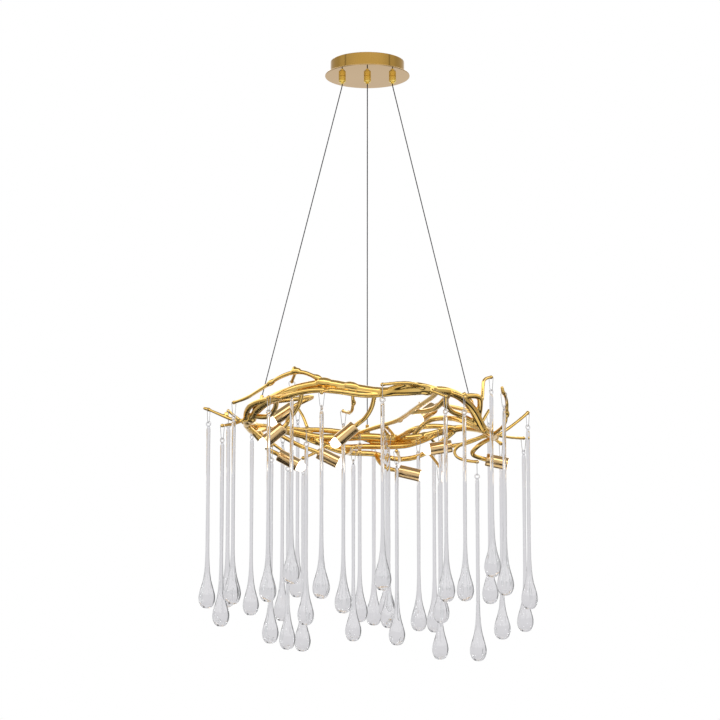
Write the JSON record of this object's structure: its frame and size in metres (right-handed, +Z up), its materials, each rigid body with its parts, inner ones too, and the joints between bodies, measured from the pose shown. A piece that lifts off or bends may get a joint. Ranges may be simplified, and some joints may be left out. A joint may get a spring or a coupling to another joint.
{
  "type": "glass chandelier",
  "caption": "Ceiling chandelier with a round gold canopy, thin cables and a wreath of gold branches that carries small lamps and long clear glass drops.",
  "frame": {"origin": "middle of the bracket face that lies on the ceiling", "axes": "+Z up to the ceiling, the pictured side faces -Y, +X to the right of that view"},
  "size_m": [0.6017, 0.5237, 1.1001],
  "materials": {
    "polished_gold": "polished",
    "bright_steel": "bright",
    "cable_steel": "satin",
    "terminal_plastic": "matt",
    "socket_ceramic": "glazed",
    "frosted_bulb": "frosted",
    "clear_glass": "clear"
  },
  "bodies": {
    "canopy": {"ceiling_bracket": "bright_steel", "canopy_drum": "polished_gold", "canopy_plate": "polished_gold", "canopy_screws": "polished_gold", "terminal_block": "terminal_plastic", "gripper_barrels": "polished_gold", "gripper_nuts": "bright_steel", "suspension_cable_left": "cable_steel", "suspension_cable_centre": "cable_steel", "suspension_cable_right": "cable_steel"},
    "wreath": {"front_branch": "polished_gold", "back_branch": "polished_gold", "left_branch": "polished_gold", "right_branch": "polished_gold", "crown_branch": "polished_gold", "inner_branch": "polished_gold", "cable_ferrules": "polished_gold", "lamp_arms": "polished_gold", "lamp_sleeves": "polished_gold", "lamp_sockets": "socket_ceramic", "lamp_bulbs": "frosted_bulb", "drop_hooks": "bright_steel"},
    "plunger_left": {"gripper_plunger_left": "polished_gold"},
    "plunger_centre": {"gripper_plunger_centre": "polished_gold"},
    "plunger_right": {"gripper_plunger_right": "polished_gold"},
    "drop_01": {"glass_drop_01": "clear_glass"},
    "drop_02": {"glass_drop_02": "clear_glass"},
    "drop_03": {"glass_drop_03": "clear_glass"},
    "drop_04": {"glass_drop_04": "clear_glass"},
    "drop_05": {"glass_drop_05": "clear_glass"},
    "drop_06": {"glass_drop_06": "clear_glass"},
    "drop_07": {"glass_drop_07": "clear_glass"},
    "drop_08": {"glass_drop_08": "clear_glass"},
    "drop_09": {"glass_drop_09": "clear_glass"},
    "drop_10": {"glass_drop_10": "clear_glass"},
    "drop_11": {"glass_drop_11": "clear_glass"},
    "drop_12": {"glass_drop_12": "clear_glass"},
    "drop_13": {"glass_drop_13": "clear_glass"},
    "drop_14": {"glass_drop_14": "clear_glass"},
    "drop_15": {"glass_drop_15": "clear_glass"},
    "drop_16": {"glass_drop_16": "clear_glass"},
    "drop_17": {"glass_drop_17": "clear_glass"},
    "drop_18": {"glass_drop_18": "clear_glass"},
    "drop_19": {"glass_drop_19": "clear_glass"},
    "drop_20": {"glass_drop_20": "clear_glass"},
    "drop_21": {"glass_drop_21": "clear_glass"},
    "drop_22": {"glass_drop_22": "clear_glass"},
    "drop_23": {"glass_drop_23": "clear_glass"},
    "drop_24": {"glass_drop_24": "clear_glass"},
    "drop_25": {"glass_drop_25": "clear_glass"},
    "drop_26": {"glass_drop_26": "clear_glass"},
    "drop_27": {"glass_drop_27": "clear_glass"},
    "drop_28": {"glass_drop_28": "clear_glass"},
    "drop_29": {"glass_drop_29": "clear_glass"},
    "drop_30": {"glass_drop_30": "clear_glass"},
    "drop_31": {"glass_drop_31": "clear_glass"},
    "drop_32": {"glass_drop_32": "clear_glass"},
    "drop_33": {"glass_drop_33": "clear_glass"},
    "drop_34": {"glass_drop_34": "clear_glass"},
    "drop_35": {"glass_drop_35": "clear_glass"}
  },
  "joints": [
    {"name": "height_adjust", "type": "slide", "parent": "canopy", "child": "wreath", "axis": [0, 0, 1], "range_m": [0, 0.25], "deforming": ["suspension_cable_left", "suspension_cable_centre", "suspension_cable_right"]},
    {"name": "release_left", "type": "slide", "parent": "canopy", "child": "plunger_left", "axis": [0, 0, 1], "range_m": [0, 0.002], "stiffness_N_per_m": 300, "springref_m": -0.002},
    {"name": "release_centre", "type": "slide", "parent": "canopy", "child": "plunger_centre", "axis": [0, 0, 1], "range_m": [0, 0.002], "stiffness_N_per_m": 300, "springref_m": -0.002},
    {"name": "release_right", "type": "slide", "parent": "canopy", "child": "plunger_right", "axis": [0, 0, 1], "range_m": [0, 0.002], "stiffness_N_per_m": 300, "springref_m": -0.002},
    {"name": "drop_01_swing", "type": "hinge", "parent": "wreath", "child": "drop_01", "pos_m": [-0.17121, -0.19863, -0.6847], "axis": [0.5411, -0.8409, 0], "range_deg": [-2, 2]},
    {"name": "drop_02_swing", "type": "hinge", "parent": "wreath", "child": "drop_02", "pos_m": [-0.07928, -0.24399, -0.68444], "axis": [0.9511, -0.309, 0], "range_deg": [-2, 2]},
    {"name": "drop_03_swing", "type": "hinge", "parent": "wreath", "child": "drop_03", "pos_m": [-0.04259, -0.13114, -0.69684], "axis": [-0.9314, -0.3641, 0], "range_deg": [-2, 2]},
    {"name": "drop_04_swing", "type": "hinge", "parent": "wreath", "child": "drop_04", "pos_m": [0.02505, -0.24092, -0.66987], "axis": [0.0404, -0.9992, 0], "range_deg": [-2, 2]},
    {"name": "drop_05_swing", "type": "hinge", "parent": "wreath", "child": "drop_05", "pos_m": [0.13358, -0.22512, -0.68759], "axis": [0.5715, 0.8206, 0], "range_deg": [-2, 2]},
    {"name": "drop_06_swing", "type": "hinge", "parent": "wreath", "child": "drop_06", "pos_m": [0.16723, -0.18185, -0.68136], "axis": [0.2888, 0.9574, 0], "range_deg": [-2, 2]},
    {"name": "drop_07_swing", "type": "hinge", "parent": "wreath", "child": "drop_07", "pos_m": [0.21792, -0.09637, -0.62998], "axis": [-0.6543, 0.7563, 0], "range_deg": [-2, 2]},
    {"name": "drop_08_swing", "type": "hinge", "parent": "wreath", "child": "drop_08", "pos_m": [-0.23448, -0.12887, -0.68112], "axis": [-0.6485, -0.7612, 0], "range_deg": [-2, 2]},
    {"name": "drop_09_swing", "type": "hinge", "parent": "wreath", "child": "drop_09", "pos_m": [-0.13216, -0.16221, -0.65004], "axis": [-0.9711, -0.2387, 0], "range_deg": [-2, 2]},
    {"name": "drop_10_swing", "type": "hinge", "parent": "wreath", "child": "drop_10", "pos_m": [-0.28294, -0.04177, -0.67819], "axis": [-0.4301, -0.9028, 0], "range_deg": [-2, 2]},
    {"name": "drop_11_swing", "type": "hinge", "parent": "wreath", "child": "drop_11", "pos_m": [-0.25616, -0.08652, -0.71491], "axis": [0.6787, -0.7344, 0], "range_deg": [-2, 2]},
    {"name": "drop_12_swing", "type": "hinge", "parent": "wreath", "child": "drop_12", "pos_m": [-0.25053, 0.02699, -0.66899], "axis": [0.1082, -0.9941, 0], "range_deg": [-2, 2]},
    {"name": "drop_13_swing", "type": "hinge", "parent": "wreath", "child": "drop_13", "pos_m": [-0.21198, 0.13662, -0.67129], "axis": [-0.719, -0.695, 0], "range_deg": [-2, 2]},
    {"name": "drop_14_swing", "type": "hinge", "parent": "wreath", "child": "drop_14", "pos_m": [-0.17204, -0.00147, -0.73632], "axis": [-0.4359, 0.9, 0], "range_deg": [-2, 2]},
    {"name": "drop_15_swing", "type": "hinge", "parent": "wreath", "child": "drop_15", "pos_m": [-0.14414, 0.08743, -0.73836], "axis": [-0.1559, 0.9878, 0], "range_deg": [-2, 2]},
    {"name": "drop_16_swing", "type": "hinge", "parent": "wreath", "child": "drop_16", "pos_m": [-0.11061, 0.05969, -0.6978], "axis": [0.1363, 0.9907, 0], "range_deg": [-2, 2]},
    {"name": "drop_17_swing", "type": "hinge", "parent": "wreath", "child": "drop_17", "pos_m": [-0.15693, 0.19221, -0.67569], "axis": [-0.9093, -0.4162, 0], "range_deg": [-2, 2]},
    {"name": "drop_18_swing", "type": "hinge", "parent": "wreath", "child": "drop_18", "pos_m": [-0.12987, 0.22493, -0.62876], "axis": [-0.866, -0.5, 0], "range_deg": [-2, 2]},
    {"name": "drop_19_swing", "type": "hinge", "parent": "wreath", "child": "drop_19", "pos_m": [-0.11771, 0.1362, -0.73718], "axis": [0.8381, -0.5456, 0], "range_deg": [-2, 2]},
    {"name": "drop_20_swing", "type": "hinge", "parent": "wreath", "child": "drop_20", "pos_m": [-0.01419, 0.19987, -0.67713], "axis": [0.2903, 0.9569, 0], "range_deg": [-2, 2]},
    {"name": "drop_21_swing", "type": "hinge", "parent": "wreath", "child": "drop_21", "pos_m": [0.01208, 0.24966, -0.67812], "axis": [-0.5534, -0.8329, 0], "range_deg": [-2, 2]},
    {"name": "drop_22_swing", "type": "hinge", "parent": "wreath", "child": "drop_22", "pos_m": [0.03597, 0.19401, -0.66988], "axis": [0.7921, -0.6104, 0], "range_deg": [-2, 2]},
    {"name": "drop_23_swing", "type": "hinge", "parent": "wreath", "child": "drop_23", "pos_m": [-0.02575, 0.12227, -0.72001], "axis": [0.9889, 0.1484, 0], "range_deg": [-2, 2]},
    {"name": "drop_24_swing", "type": "hinge", "parent": "wreath", "child": "drop_24", "pos_m": [0.05325, 0.10729, -0.72888], "axis": [0.989, -0.1476, 0], "range_deg": [-2, 2]},
    {"name": "drop_25_swing", "type": "hinge", "parent": "wreath", "child": "drop_25", "pos_m": [0.09426, 0.17563, -0.69637], "axis": [0.7542, -0.6567, 0], "range_deg": [-2, 2]},
    {"name": "drop_26_swing", "type": "hinge", "parent": "wreath", "child": "drop_26", "pos_m": [0.12409, 0.22219, -0.6937], "axis": [-0.9616, 0.2744, 0], "range_deg": [-2, 2]},
    {"name": "drop_27_swing", "type": "hinge", "parent": "wreath", "child": "drop_27", "pos_m": [0.13263, 0.15171, -0.75019], "axis": [0.9316, 0.3634, 0], "range_deg": [-2, 2]},
    {"name": "drop_28_swing", "type": "hinge", "parent": "wreath", "child": "drop_28", "pos_m": [0.13333, 0.10287, -0.68955], "axis": [0.9167, -0.3995, 0], "range_deg": [-2, 2]},
    {"name": "drop_29_swing", "type": "hinge", "parent": "wreath", "child": "drop_29", "pos_m": [0.23763, -0.14983, -0.66823], "axis": [0.958, -0.2868, 0], "range_deg": [-2, 2]},
    {"name": "drop_30_swing", "type": "hinge", "parent": "wreath", "child": "drop_30", "pos_m": [0.28878, 0.02903, -0.67202], "axis": [-0.5209, 0.8536, 0], "range_deg": [-2, 2]},
    {"name": "drop_31_swing", "type": "hinge", "parent": "wreath", "child": "drop_31", "pos_m": [0.28573, 0.11914, -0.70302], "axis": [-0.797, 0.6039, 0], "range_deg": [-2, 2]},
    {"name": "drop_32_swing", "type": "hinge", "parent": "wreath", "child": "drop_32", "pos_m": [0.24133, 0.05909, -0.72293], "axis": [-0.5073, 0.8618, 0], "range_deg": [-2, 2]},
    {"name": "drop_33_swing", "type": "hinge", "parent": "wreath", "child": "drop_33", "pos_m": [0.19491, -0.0208, -0.76923], "axis": [0.0254, 0.9997, 0], "range_deg": [-2, 2]},
    {"name": "drop_34_swing", "type": "hinge", "parent": "wreath", "child": "drop_34", "pos_m": [0.22263, 0.11651, -0.65287], "axis": [-0.8578, 0.5139, 0], "range_deg": [-2, 2]},
    {"name": "drop_35_swing", "type": "hinge", "parent": "wreath", "child": "drop_35", "pos_m": [0.03866, 0.14769, -0.69342], "axis": [-0.8668, 0.4987, 0], "range_deg": [-2, 2]}
  ]
}
